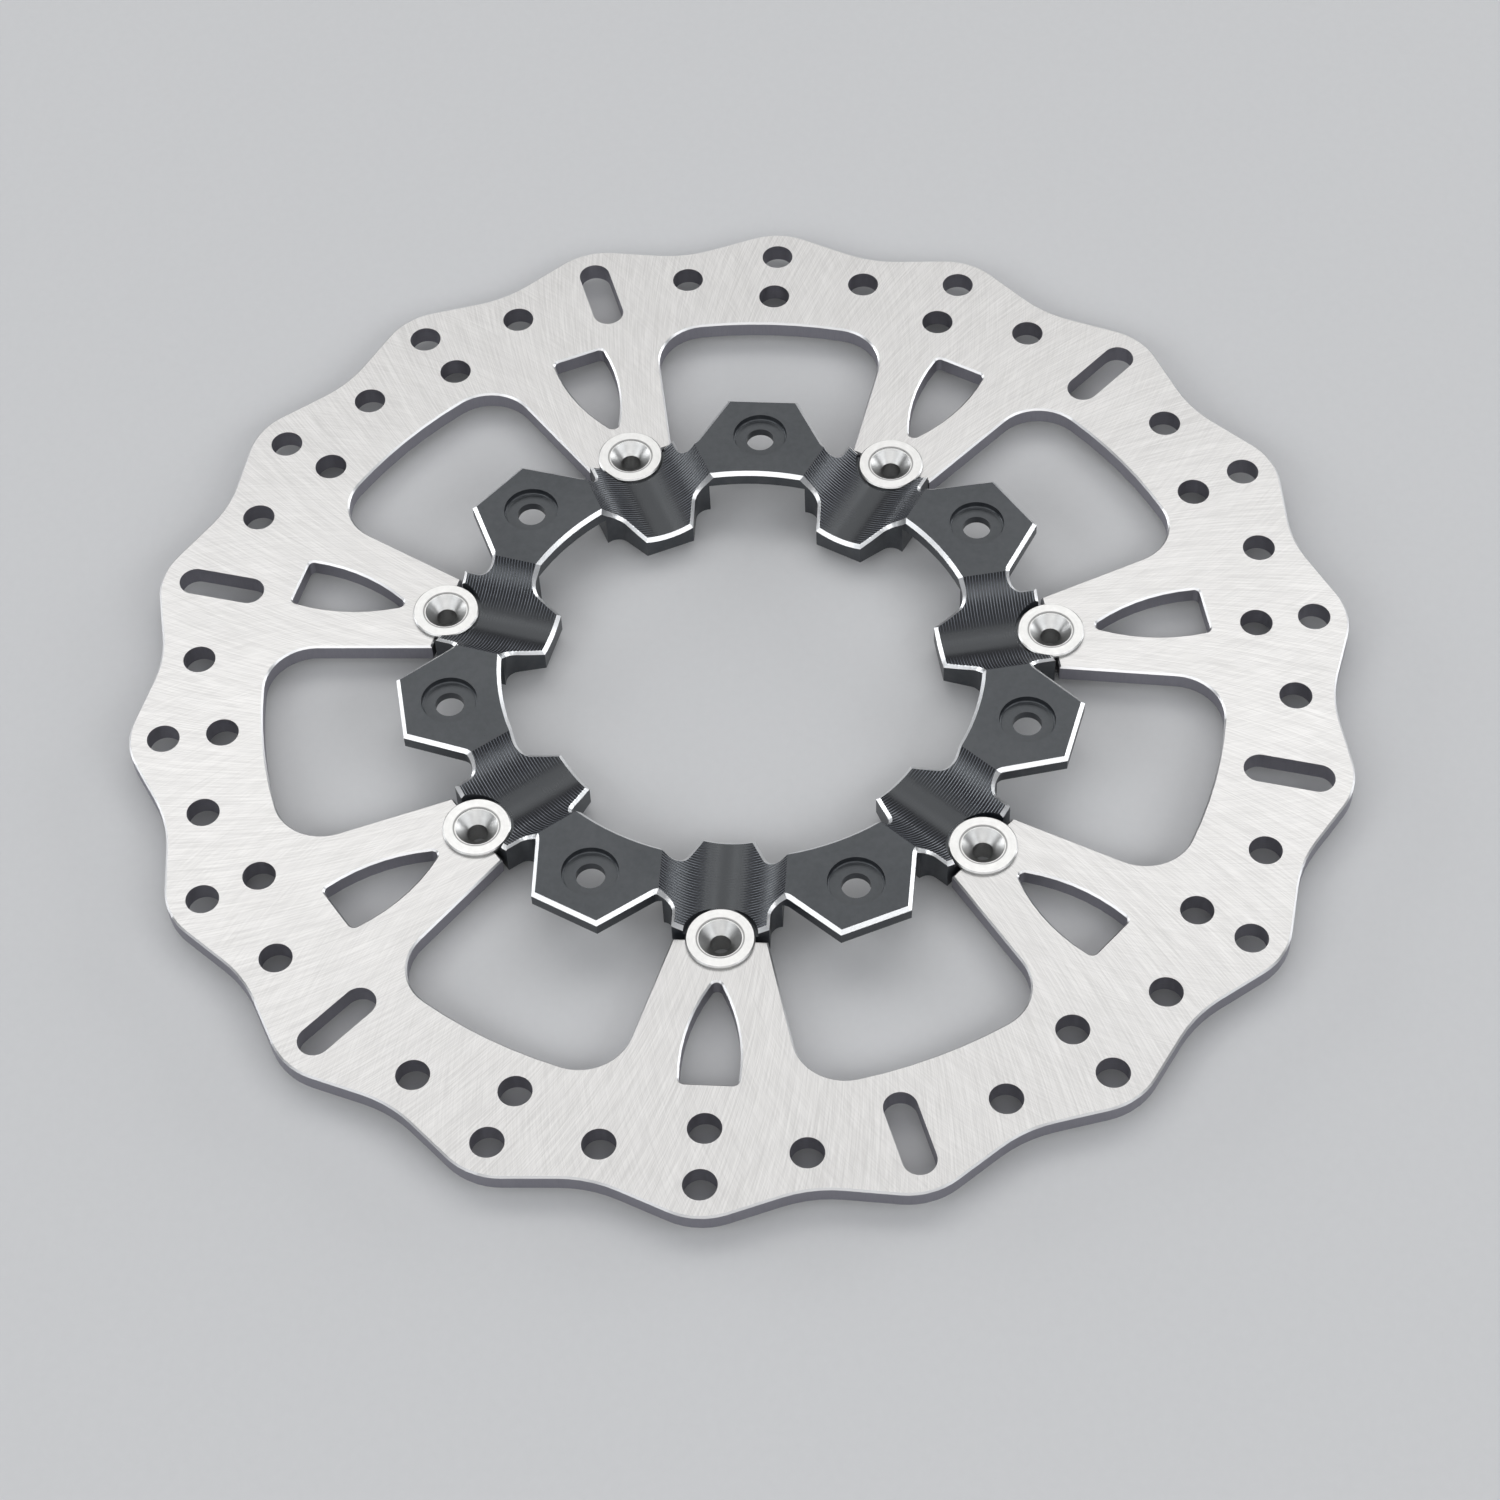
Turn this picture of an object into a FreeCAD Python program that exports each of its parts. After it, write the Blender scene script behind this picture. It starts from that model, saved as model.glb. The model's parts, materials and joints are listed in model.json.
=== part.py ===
"""Floating brake disc for a motorcycle front wheel.

A stainless friction disc hangs on an anodised carrier through seven float buttons. Each button is a
bobbin in two half-round notches, held from behind by a wave washer, a flat washer and a snap ring.
Millimetres. The origin is on the wheel axis, in the plane of the lug faces that meet the wheel.
+Z points away from the wheel, and the first spoke lies along +X.
"""
import FreeCAD, Part
import math
import os
import Sketcher

from FreeCAD import Placement, Rotation, Vector

DOC = FreeCAD.newDocument("brake_disc_rotor")
AXIS_Z = Vector(0, 0, 1)
TINY = 1e-4

SIZES = [
    # friction disc
    ("disc_outer_dia", 300.0),
    ("disc_thickness", 5.0),
    ("disc_top_level", -4.0),
    ("disc_chamfer", 0.45),
    ("lobe_count", 18),
    ("lobe_crown", 0.05),
    ("lobe_tip_radius", 17.5),
    ("lobe_valley_radius", 32.0),
    ("lobe_depth", 5.9),
    ("spoke_count", 7),
    ("spoke_end_reach", 76.8),
    ("window_outer_radius", 117.5),
    ("window_corner_radius", 12.0),
    ("window_inner_reach", 60.0),
    ("window_inner_width", 41.4),
    ("window_flare", 10.41),
    ("ogive_base_reach", 115.7),
    ("ogive_waist_reach", 111.0),
    ("ogive_half_width", 6.95),
    ("ogive_side_radius", 45.0),
    ("ogive_corner_radius", 1.4),
    ("vent_group_count", 6),
    ("vent_hole_dia", 8.0),
    ("vent_outer_circle", 141.7),
    ("vent_inner_circle", 127.3),
    ("vent_middle_circle", 134.5),
    ("vent_slot_length", 22.0),
    # carrier
    ("carrier_top_level", 4.0),
    ("carrier_blank_radius", 90.0),
    ("arm_floor_level", -4.0),
    ("arm_valley_radius", 17.5),
    ("arm_tip_reach", 48.9),
    ("arm_outer_reach", 75.6),
    ("arm_outer_half_width", 11.4),
    ("arm_web_half_width", 14.0),
    ("arm_run_middle", 65.0),
    ("arm_run_length", 60.0),
    ("arm_tip_start", 40.0),
    ("bay_half_width", 15.55),
    ("bay_radius", 58.6),
    ("bay_corner_radius", 3.5),
    ("lug_outer_reach", 83.5),
    ("lug_outer_half_width", 8.85),
    ("lug_side_angle", 27.5),
    ("notch_corner_radius", 2.8),
    ("edge_break", 0.9),
    ("bolt_circle_radius", 71.5),
    ("bolt_hole_dia", 7.0),
    ("bolt_recess_dia", 13.6),
    ("bolt_recess_depth", 1.8),
    ("bolt_recess_corner", 0.8),
    # float buttons
    ("button_circle_radius", 76.9),
    ("button_shank_dia", 12.0),
    ("button_running_gap", 0.05),
    ("button_seat_gap", 0.02),
    ("button_head_dia", 16.4),
    ("button_head_height", 1.0),
    ("button_head_edge", 0.3),
    ("button_head_pocket_dia", 17.8),
    ("button_rim_dia", 10.8),
    ("button_rim_step", 0.2),
    ("button_mouth_dia", 10.2),
    ("button_bore_dia", 5.0),
    ("button_end_level", -11.7),
    ("button_end_chamfer", 0.3),
    ("groove_dia", 10.9),
    ("groove_top_level", -10.32),
    ("groove_width", 0.84),
    # washers and ring
    ("wave_inner_dia", 12.4),
    ("wave_outer_dia", 16.0),
    ("wave_sheet", 0.35),
    ("wave_height", 0.78),
    ("wave_count", 3),
    ("washer_inner_dia", 12.1),
    ("washer_outer_dia", 16.4),
    ("washer_thickness", 0.5),
    ("washer_top_level", -9.82),
    ("ring_inner_dia", 11.0),
    ("ring_outer_dia", 14.6),
    ("ring_thickness", 0.8),
    ("ring_top_level", -10.34),
    ("ring_gap", 3.2),
]


def make_sheet():
    """Write the driving dimensions to a sheet and return it with their values."""
    sheet = DOC.addObject("Spreadsheet::Sheet", "Dims")
    for row, (name, value) in enumerate(SIZES, start=1):
        sheet.set("A%d" % row, name)
        sheet.set("B%d" % row, str(value))
        sheet.setAlias("B%d" % row, name)
    DOC.recompute()
    return sheet, dict(SIZES)


SHEET, D = make_sheet()
SPOKES = D["spoke_count"]
HALF_SPOKE = 180.0 / SPOKES
DISC_TOP = D["disc_top_level"]
DISC_BACK = DISC_TOP - D["disc_thickness"]


# ---------------------------------------------------------------- sketch helpers

def polar(radius, degrees):
    return Vector(radius * math.cos(math.radians(degrees)), radius * math.sin(math.radians(degrees)), 0)


def flip(point):
    return Vector(point.x, -point.y, 0)


def origin_feature(body, role):
    return [item for item in body.Origin.OriginFeatures if item.Role == role][0]


def new_body(label):
    body = DOC.addObject("PartDesign::Body", label)
    body.Label = label
    return body


def new_sketch(body, name, level="0", turn=0.0, plane="XY_Plane"):
    """Sketch on one of the body's own planes, lifted to a level and turned about its normal."""
    sketch = body.newObject("Sketcher::SketchObject", name)
    sketch.AttachmentSupport = (origin_feature(body, plane), [""])
    sketch.MapMode = "FlatFace"
    sketch.AttachmentOffset = Placement(Vector(0, 0, 0), Rotation(AXIS_Z, turn))
    sketch.setExpression("AttachmentOffset.Base.z", level)
    return sketch


def line(sketch, start, end):
    return sketch.addGeometry(Part.LineSegment(start, end), False)


def arc(sketch, centre, start, end):
    """Arc about centre, counterclockwise from start to end."""
    first = math.atan2(start.y - centre.y, start.x - centre.x)
    last = math.atan2(end.y - centre.y, end.x - centre.x)
    if last <= first:
        last += 2 * math.pi
    whole = Part.Circle(Vector(centre), AXIS_Z, (start - centre).Length)
    return sketch.addGeometry(Part.ArcOfCircle(whole, first, last), False)


def circle(sketch, centre, radius, construction=False):
    return sketch.addGeometry(Part.Circle(Vector(centre), AXIS_Z, radius), construction)


def rule(sketch, *parts):
    return sketch.addConstraint(Sketcher.Constraint(*parts))


def size(sketch, name, expression, *parts):
    """Add a dimension, name it, and bind it to the sheet."""
    index = rule(sketch, *parts)
    sketch.renameConstraint(index, name)
    sketch.setExpression("Constraints." + name, expression)
    return index


def join(sketch, first, first_end, second, second_end, smooth=False):
    rule(sketch, "Tangent" if smooth else "Coincident", first, first_end, second, second_end)


def bound_polygon(sketch, corners):
    """Closed outline. Each corner is (name, x expression, x, y expression, y)."""
    points = [Vector(corner[2], corner[4], 0) for corner in corners]
    count = len(corners)
    sides = [line(sketch, points[k], points[(k + 1) % count]) for k in range(count)]
    for k, (name, x_rule, x, y_rule, y) in enumerate(corners):
        join(sketch, sides[k - 1], 2, sides[k], 1)
        size(sketch, name + "_x", x_rule, "DistanceX", -1, 1, sides[k], 1, x)
        size(sketch, name + "_y", y_rule, "DistanceY", -1, 1, sides[k], 1, y)
    return sides


def finish_sketch(sketch):
    """Solve the sketch and stop if its rules disagree."""
    DOC.recompute()
    if sketch.solve() != 0:
        raise RuntimeError("sketch %s does not solve" % sketch.Name)
    return sketch


def pad(body, sketch, length, name):
    feature = body.newObject("PartDesign::Pad", name)
    feature.Profile = sketch
    feature.setExpression("Length", length)
    sketch.Visibility = False
    DOC.recompute()
    return feature


def pocket(body, sketch, length, name, upward=False, both_ways=False):
    """Cut down from the sketch, up from it, or both ways, by a length from the sheet."""
    before = body.Shape.Volume
    feature = body.newObject("PartDesign::Pocket", name)
    feature.Profile = sketch
    feature.Reversed = upward
    if both_ways:
        feature.SideType = "Symmetric"
    feature.setExpression("Length", length)
    sketch.Visibility = False
    DOC.recompute()
    if feature.Shape.Volume > before - TINY:
        raise RuntimeError("%s removes nothing" % name)
    return feature


def pattern(body, features, count, name):
    """Repeat features evenly about the wheel axis."""
    before = body.Shape.Volume
    feature = body.newObject("PartDesign::PolarPattern", name)
    feature.Originals = features
    feature.Axis = (origin_feature(body, "Z_Axis"), [""])
    feature.Angle = 360
    feature.setExpression("Occurrences", count)
    body.Tip = feature
    DOC.recompute()
    if abs(feature.Shape.Volume - before) < TINY:
        raise RuntimeError("%s changes nothing" % name)
    return feature


def named_edges(shape, test):
    return ["Edge%d" % (k + 1) for k, edge in enumerate(shape.Edges) if test(edge)]


def level_edge(edge, level):
    box = edge.BoundBox
    return abs(box.ZMin - level) < TINY and abs(box.ZMax - level) < TINY


def dress(body, kind, edges, measure, expression, name):
    """Chamfer or fillet named edges of the body's tip."""
    base = body.Tip
    feature = body.newObject("PartDesign::" + kind, name)
    feature.Base = (base, edges)
    feature.setExpression(measure, expression)
    body.Tip = feature
    DOC.recompute()
    return feature


def spot(sketch, reach_rule, reach, dia_rule, dia, name):
    """Circle on the sketch's X axis."""
    ring = circle(sketch, Vector(reach, 0, 0), dia / 2)
    rule(sketch, "PointOnObject", ring, 3, -1)
    size(sketch, name + "_reach", reach_rule, "DistanceX", -1, 1, ring, 3, reach)
    size(sketch, name + "_dia", dia_rule, "Diameter", ring, dia)
    return ring


def centred(sketch, dia_rule, dia, name):
    """Circle about the sketch's origin."""
    ring = circle(sketch, Vector(0, 0, 0), dia / 2)
    rule(sketch, "Coincident", ring, 3, -1, 1)
    size(sketch, name + "_dia", dia_rule, "Diameter", ring, dia)
    return ring


def spoke_polygon(body, name, reach_rule, reach, level):
    """Regular polygon with one flat side across each spoke, at the given reach from the axis."""
    sketch = new_sketch(body, name, level)
    corner = reach / math.cos(math.radians(HALF_SPOKE))
    guide = circle(sketch, Vector(0, 0, 0), corner, construction=True)
    rule(sketch, "Coincident", guide, 3, -1, 1)
    size(sketch, "corner_radius", "%s / cos(180 deg / Dims.spoke_count)" % reach_rule, "Radius", guide, corner)
    points = [polar(corner, (2 * k - 1) * HALF_SPOKE) for k in range(SPOKES)]
    sides = [line(sketch, points[k], points[(k + 1) % SPOKES]) for k in range(SPOKES)]
    for k in range(SPOKES):
        join(sketch, sides[k], 2, sides[(k + 1) % SPOKES], 1)
        rule(sketch, "PointOnObject", sides[k], 1, guide)
        if k > 1:
            rule(sketch, "Equal", sides[0], sides[k])
    rule(sketch, "Equal", sides[0], sides[1])
    rule(sketch, "Vertical", sides[0])
    return finish_sketch(sketch)


def sector_opening(body, name, level, rules, values):
    """Opening centred between two spokes: flat inner end, two sides, rounded corners, outer arc.

    rules and values both hold: inner reach, inner width, flare of each side, outer radius and
    corner radius.
    """
    sketch = new_sketch(body, name, level, turn=HALF_SPOKE)
    reach, width, flare, outer, corner = values
    side = polar(1, flare)
    inward = Vector(side.y, -side.x, 0)
    start = Vector(reach, width / 2, 0)
    offset = start + inward * corner
    run = math.sqrt(offset.dot(side) ** 2 - offset.dot(offset) + (outer - corner) ** 2) - offset.dot(side)
    centre = offset + side * run
    on_side = start + side * run
    on_arc = centre * (outer / centre.Length)

    inner = line(sketch, flip(start), start)
    upper = line(sketch, start, on_side)
    upper_corner = arc(sketch, centre, on_arc, on_side)
    rim = arc(sketch, Vector(0, 0, 0), flip(on_arc), on_arc)
    lower_corner = arc(sketch, flip(centre), flip(on_side), flip(on_arc))
    lower = line(sketch, flip(start), flip(on_side))

    join(sketch, inner, 2, upper, 1)
    join(sketch, inner, 1, lower, 1)
    join(sketch, upper, 2, upper_corner, 2, smooth=True)
    join(sketch, upper_corner, 1, rim, 2, smooth=True)
    join(sketch, rim, 1, lower_corner, 2, smooth=True)
    join(sketch, lower_corner, 1, lower, 2, smooth=True)
    rule(sketch, "Coincident", rim, 3, -1, 1)
    rule(sketch, "Symmetric", inner, 1, inner, 2, -1)
    rule(sketch, "Equal", upper_corner, lower_corner)
    size(sketch, "inner_reach", rules[0], "DistanceX", -1, 1, inner, 2, reach)
    size(sketch, "inner_width", rules[1], "DistanceY", inner, 1, inner, 2, width)
    size(sketch, "outer_radius", rules[3], "Radius", rim, outer)
    size(sketch, "corner_radius", rules[4], "Radius", upper_corner, corner)
    if flare > 0:
        size(sketch, "upper_flare", rules[2], "Angle", upper, math.radians(flare))
        size(sketch, "lower_flare", "-(%s)" % rules[2], "Angle", lower, -math.radians(flare))
    else:
        rule(sketch, "Horizontal", upper)
        rule(sketch, "Horizontal", lower)
    return finish_sketch(sketch)


# ---------------------------------------------------------------- friction disc

def lobe_valley(body):
    """Waste between two lobes: half of each rounded tip, two flanks and the valley floor."""
    half = 180.0 / D["lobe_count"]
    sketch = new_sketch(body, "lobe_valley", "Dims.disc_top_level", turn=half)
    tip = D["disc_outer_dia"] / 2 + D["lobe_crown"]
    r_tip = D["lobe_tip_radius"]
    r_valley = D["lobe_valley_radius"]
    tip_centre = polar(tip - r_tip, half)
    valley_reach = D["disc_outer_dia"] / 2 - D["lobe_depth"] + r_valley
    valley_centre = Vector(valley_reach, 0, 0)
    span = valley_centre - tip_centre
    along = Vector(span).normalize()
    across = Vector(-along.y, along.x, 0)
    cosine = (r_tip + r_valley) / span.Length
    normal = along * cosine + across * math.sqrt(1 - cosine ** 2)
    flank_tip = tip_centre + normal * r_tip
    flank_valley = valley_centre - normal * r_valley
    apex = polar(tip, half)
    outside = polar(tip + 5, half)

    upper_tip = arc(sketch, tip_centre, flank_tip, apex)
    upper_flank = line(sketch, flank_tip, flank_valley)
    floor = arc(sketch, valley_centre, flank_valley, flip(flank_valley))
    lower_flank = line(sketch, flip(flank_valley), flip(flank_tip))
    lower_tip = arc(sketch, flip(tip_centre), flip(apex), flip(flank_tip))
    lower_side = line(sketch, flip(apex), flip(outside))
    back = line(sketch, flip(outside), outside)
    upper_side = line(sketch, apex, outside)

    join(sketch, upper_tip, 1, upper_flank, 1, smooth=True)
    join(sketch, upper_flank, 2, floor, 1, smooth=True)
    join(sketch, floor, 2, lower_flank, 1, smooth=True)
    join(sketch, lower_flank, 2, lower_tip, 2, smooth=True)
    join(sketch, lower_tip, 1, lower_side, 1)
    join(sketch, lower_side, 2, back, 1)
    join(sketch, back, 2, upper_side, 2)
    join(sketch, upper_side, 1, upper_tip, 2)
    rule(sketch, "PointOnObject", floor, 3, -1)
    rule(sketch, "Symmetric", upper_tip, 3, lower_tip, 3, -1)
    rule(sketch, "Symmetric", upper_side, 1, lower_side, 1, -1)
    rule(sketch, "Symmetric", upper_side, 2, lower_side, 2, -1)
    rule(sketch, "PointOnObject", upper_tip, 3, upper_side)
    rule(sketch, "PointOnObject", -1, 1, upper_side)
    size(sketch, "half_pitch", "180 deg / Dims.lobe_count", "Angle", upper_side, math.radians(half))
    size(sketch, "tip_radius", "Dims.lobe_tip_radius", "Radius", upper_tip, r_tip)
    size(sketch, "valley_radius", "Dims.lobe_valley_radius", "Radius", floor, r_valley)
    size(sketch, "valley_reach", "Dims.disc_outer_dia / 2 - Dims.lobe_depth + Dims.lobe_valley_radius",
         "DistanceX", -1, 1, floor, 3, valley_reach)
    size(sketch, "tip_reach", "Dims.disc_outer_dia / 2 + Dims.lobe_crown",
         "Distance", -1, 1, upper_side, 1, tip)
    size(sketch, "outside_reach", "Dims.disc_outer_dia / 2 + Dims.lobe_crown + 5",
         "Distance", -1, 1, upper_side, 2, tip + 5)
    return finish_sketch(sketch)


def spoke_window(body):
    """Pointed-arch window along a spoke: flat base outside, two bowed sides, rounded apex inside."""
    sketch = new_sketch(body, "spoke_window", "Dims.disc_top_level")
    base = D["ogive_base_reach"]
    waist = D["ogive_waist_reach"]
    side_radius = D["ogive_side_radius"]
    corner = D["ogive_corner_radius"]
    side_centre = Vector(waist, D["ogive_half_width"] - side_radius, 0)
    inner = side_radius - corner
    base_x = base - corner
    base_y = side_centre.y + math.sqrt(inner ** 2 - (base_x - waist) ** 2)
    base_centre = Vector(base_x, base_y, 0)
    apex_centre = Vector(waist - math.sqrt(inner ** 2 - side_centre.y ** 2), 0, 0)
    side_out = side_centre + (base_centre - side_centre) * (side_radius / inner)
    side_in = side_centre + (apex_centre - side_centre) * (side_radius / inner)
    base_end = Vector(base, base_y, 0)

    flat = line(sketch, flip(base_end), base_end)
    upper_corner = arc(sketch, base_centre, base_end, side_out)
    upper_side = arc(sketch, side_centre, side_out, side_in)
    apex = arc(sketch, apex_centre, side_in, flip(side_in))
    lower_side = arc(sketch, flip(side_centre), flip(side_in), flip(side_out))
    lower_corner = arc(sketch, flip(base_centre), flip(side_out), flip(base_end))
    join(sketch, flat, 2, upper_corner, 1, smooth=True)
    join(sketch, upper_corner, 2, upper_side, 1, smooth=True)
    join(sketch, upper_side, 2, apex, 1, smooth=True)
    join(sketch, apex, 2, lower_side, 1, smooth=True)
    join(sketch, lower_side, 2, lower_corner, 1, smooth=True)
    join(sketch, lower_corner, 2, flat, 1, smooth=True)
    rule(sketch, "Vertical", flat)
    rule(sketch, "Symmetric", upper_side, 3, lower_side, 3, -1)
    rule(sketch, "Equal", upper_side, lower_side)
    rule(sketch, "Equal", upper_corner, lower_corner)
    rule(sketch, "Equal", upper_corner, apex)
    size(sketch, "base_reach", "Dims.ogive_base_reach", "DistanceX", -1, 1, flat, 2, base)
    size(sketch, "corner_radius", "Dims.ogive_corner_radius", "Radius", upper_corner, corner)
    size(sketch, "side_radius", "Dims.ogive_side_radius", "Radius", upper_side, side_radius)
    size(sketch, "waist_reach", "Dims.ogive_waist_reach", "DistanceX", -1, 1, upper_side, 3, waist)
    size(sketch, "waist_offset", "Dims.ogive_half_width - Dims.ogive_side_radius",
         "DistanceY", -1, 1, upper_side, 3, side_centre.y)
    return finish_sketch(sketch)


def vent_slot(body, turn):
    """Round-ended slot along a radius."""
    sketch = new_sketch(body, "vent_slot", "Dims.disc_top_level", turn=turn)
    half_width = D["vent_hole_dia"] / 2
    half_run = D["vent_slot_length"] / 2 - half_width
    middle = D["vent_middle_circle"]
    inner = Vector(middle - half_run, 0, 0)
    outer = Vector(middle + half_run, 0, 0)
    rise = Vector(0, half_width, 0)
    outer_end = arc(sketch, outer, outer - rise, outer + rise)
    upper = line(sketch, outer + rise, inner + rise)
    inner_end = arc(sketch, inner, inner + rise, inner - rise)
    lower = line(sketch, inner - rise, outer - rise)
    join(sketch, outer_end, 2, upper, 1, smooth=True)
    join(sketch, upper, 2, inner_end, 1, smooth=True)
    join(sketch, inner_end, 2, lower, 1, smooth=True)
    join(sketch, lower, 2, outer_end, 1, smooth=True)
    rule(sketch, "PointOnObject", outer_end, 3, -1)
    rule(sketch, "PointOnObject", inner_end, 3, -1)
    rule(sketch, "Equal", outer_end, inner_end)
    size(sketch, "end_radius", "Dims.vent_hole_dia / 2", "Radius", outer_end, half_width)
    run = "(Dims.vent_slot_length - Dims.vent_hole_dia) / 2"
    size(sketch, "outer_reach", "Dims.vent_middle_circle + " + run, "DistanceX", -1, 1, outer_end, 3, outer.x)
    size(sketch, "inner_reach", "Dims.vent_middle_circle - " + run, "DistanceX", -1, 1, inner_end, 3, inner.x)
    return finish_sketch(sketch)


def vent_holes(body, name, turn, circles):
    """Drilled holes on one radius, one on each named circle."""
    sketch = new_sketch(body, name, "Dims.disc_top_level", turn=turn)
    for circle_name in circles:
        spot(sketch, "Dims." + circle_name, D[circle_name], "Dims.vent_hole_dia", D["vent_hole_dia"], circle_name)
    return finish_sketch(sketch)


def make_disc():
    body = new_body("rotor_disc")
    depth = "Dims.disc_thickness"
    level = "Dims.disc_top_level"

    blank = new_sketch(body, "disc_blank", "Dims.disc_top_level - Dims.disc_thickness")
    centred(blank, "Dims.disc_outer_dia", D["disc_outer_dia"], "outer")
    pad(body, finish_sketch(blank), depth, "disc_plate")
    cut = pocket(body, lobe_valley(body), depth, "lobe_cut")
    pattern(body, [cut], "Dims.lobe_count", "lobes")

    middle = spoke_polygon(body, "spoke_ends", "Dims.spoke_end_reach", D["spoke_end_reach"], level)
    pocket(body, middle, depth, "middle_opening")
    names = ["window_inner_reach", "window_inner_width", "window_flare", "window_outer_radius",
             "window_corner_radius"]
    opening = sector_opening(body, "window_outline", level, ["Dims." + name for name in names],
                             [D[name] for name in names])
    cut = pocket(body, opening, depth, "window_cut")
    pattern(body, [cut], "Dims.spoke_count", "windows")
    cut = pocket(body, spoke_window(body), depth, "spoke_window_cut")
    pattern(body, [cut], "Dims.spoke_count", "spoke_windows")

    edges = named_edges(body.Shape, lambda edge: level_edge(edge, DISC_TOP) or level_edge(edge, DISC_BACK))
    dress(body, "Chamfer", edges, "Size", "Dims.disc_chamfer", "broken_edges")

    pitch = 360.0 / D["lobe_count"]
    pair = ["vent_outer_circle", "vent_inner_circle"]
    group = [
        pocket(body, vent_holes(body, "vent_pair", 0, pair), depth, "vent_pair_drilled"),
        pocket(body, vent_slot(body, pitch), depth, "vent_slot_milled"),
        pocket(body, vent_holes(body, "vent_next_pair", 2 * pitch, pair), depth, "vent_next_pair_drilled"),
    ]
    pattern(body, group, "Dims.vent_group_count", "vent_groups")
    single = vent_holes(body, "vent_single", pitch / 2, ["vent_middle_circle"])
    cut = pocket(body, single, depth, "vent_single_drilled")
    pattern(body, [cut], "Dims.lobe_count", "vent_singles")
    seat_buttons(body, level, depth)
    return body


# ---------------------------------------------------------------- carrier

def seat_buttons(body, level, depth):
    """Half-round notch for each button's shank."""
    sketch = new_sketch(body, "button_notch", level)
    dia = D["button_shank_dia"] + 2 * D["button_running_gap"]
    spot(sketch, "Dims.button_circle_radius", D["button_circle_radius"],
         "Dims.button_shank_dia + 2 * Dims.button_running_gap", dia, "notch")
    cut = pocket(body, finish_sketch(sketch), depth, "button_notch_cut")
    return pattern(body, [cut], "Dims.spoke_count", "button_notches")


def lug_gap(body):
    """Waste outside an arm: between the sides of two lugs, round the notches, to the arm's end."""
    sketch = new_sketch(body, "lug_gap", "Dims.carrier_top_level")
    end = D["arm_outer_reach"]
    half = D["arm_outer_half_width"]
    corner = D["notch_corner_radius"]
    lean = HALF_SPOKE + D["lug_side_angle"]
    side = polar(1, lean)
    lug_corner = Rotation(AXIS_Z, HALF_SPOKE) * Vector(D["lug_outer_reach"], -D["lug_outer_half_width"], 0)
    root = lug_corner - side * ((lug_corner.y - half) / side.y)
    tangent = corner / math.tan(math.radians(lean / 2))
    on_arm = root + Vector(tangent, 0, 0)
    on_lug = root + side * tangent
    centre = on_arm + Vector(0, corner, 0)
    beyond = lug_corner + side * 12
    far = Vector(98, beyond.y, 0)

    arm_end = line(sketch, Vector(end, -half, 0), Vector(end, half, 0))
    upper_arm = line(sketch, Vector(end, half, 0), on_arm)
    upper_root = arc(sketch, centre, on_lug, on_arm)
    upper_lug = line(sketch, on_lug, beyond)
    upper_far = line(sketch, beyond, far)
    back = line(sketch, far, flip(far))
    lower_far = line(sketch, flip(far), flip(beyond))
    lower_lug = line(sketch, flip(beyond), flip(on_lug))
    lower_root = arc(sketch, flip(centre), flip(on_arm), flip(on_lug))
    lower_arm = line(sketch, flip(on_arm), Vector(end, -half, 0))
    join(sketch, arm_end, 2, upper_arm, 1)
    join(sketch, upper_arm, 2, upper_root, 2, smooth=True)
    join(sketch, upper_root, 1, upper_lug, 1, smooth=True)
    join(sketch, upper_lug, 2, upper_far, 1)
    join(sketch, upper_far, 2, back, 1)
    join(sketch, back, 2, lower_far, 1)
    join(sketch, lower_far, 2, lower_lug, 1)
    join(sketch, lower_lug, 2, lower_root, 2, smooth=True)
    join(sketch, lower_root, 1, lower_arm, 1, smooth=True)
    join(sketch, lower_arm, 2, arm_end, 1)
    rule(sketch, "Vertical", arm_end)
    rule(sketch, "Vertical", back)
    rule(sketch, "Horizontal", upper_arm)
    rule(sketch, "Horizontal", lower_arm)
    rule(sketch, "Horizontal", upper_far)
    rule(sketch, "Horizontal", lower_far)
    rule(sketch, "Equal", upper_root, lower_root)
    rule(sketch, "Symmetric", upper_lug, 2, lower_lug, 1, -1)
    size(sketch, "arm_reach", "Dims.arm_outer_reach", "DistanceX", -1, 1, arm_end, 2, end)
    size(sketch, "arm_upper", "Dims.arm_outer_half_width", "DistanceY", -1, 1, arm_end, 2, half)
    size(sketch, "arm_lower", "-Dims.arm_outer_half_width", "DistanceY", -1, 1, arm_end, 1, -half)
    size(sketch, "root_radius", "Dims.notch_corner_radius", "Radius", upper_root, corner)
    size(sketch, "far_reach", "98", "DistanceX", -1, 1, back, 1, far.x)
    turn = "(180 deg / Dims.spoke_count)"
    side_turn = "(180 deg / Dims.spoke_count + Dims.lug_side_angle * 1 deg)"
    size(sketch, "lug_x", "Dims.lug_outer_reach * cos%s + Dims.lug_outer_half_width * sin%s + 12 * cos%s"
         % (turn, turn, side_turn), "DistanceX", -1, 1, upper_lug, 2, beyond.x)
    size(sketch, "lug_y", "Dims.lug_outer_reach * sin%s - Dims.lug_outer_half_width * cos%s + 12 * sin%s"
         % (turn, turn, side_turn), "DistanceY", -1, 1, upper_lug, 2, beyond.y)
    size(sketch, "upper_lean", "%s" % side_turn, "Angle", upper_lug, math.radians(lean))
    size(sketch, "lower_lean", "180 deg - %s" % side_turn, "Angle", lower_lug, math.radians(180 - lean))
    return finish_sketch(sketch)


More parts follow.
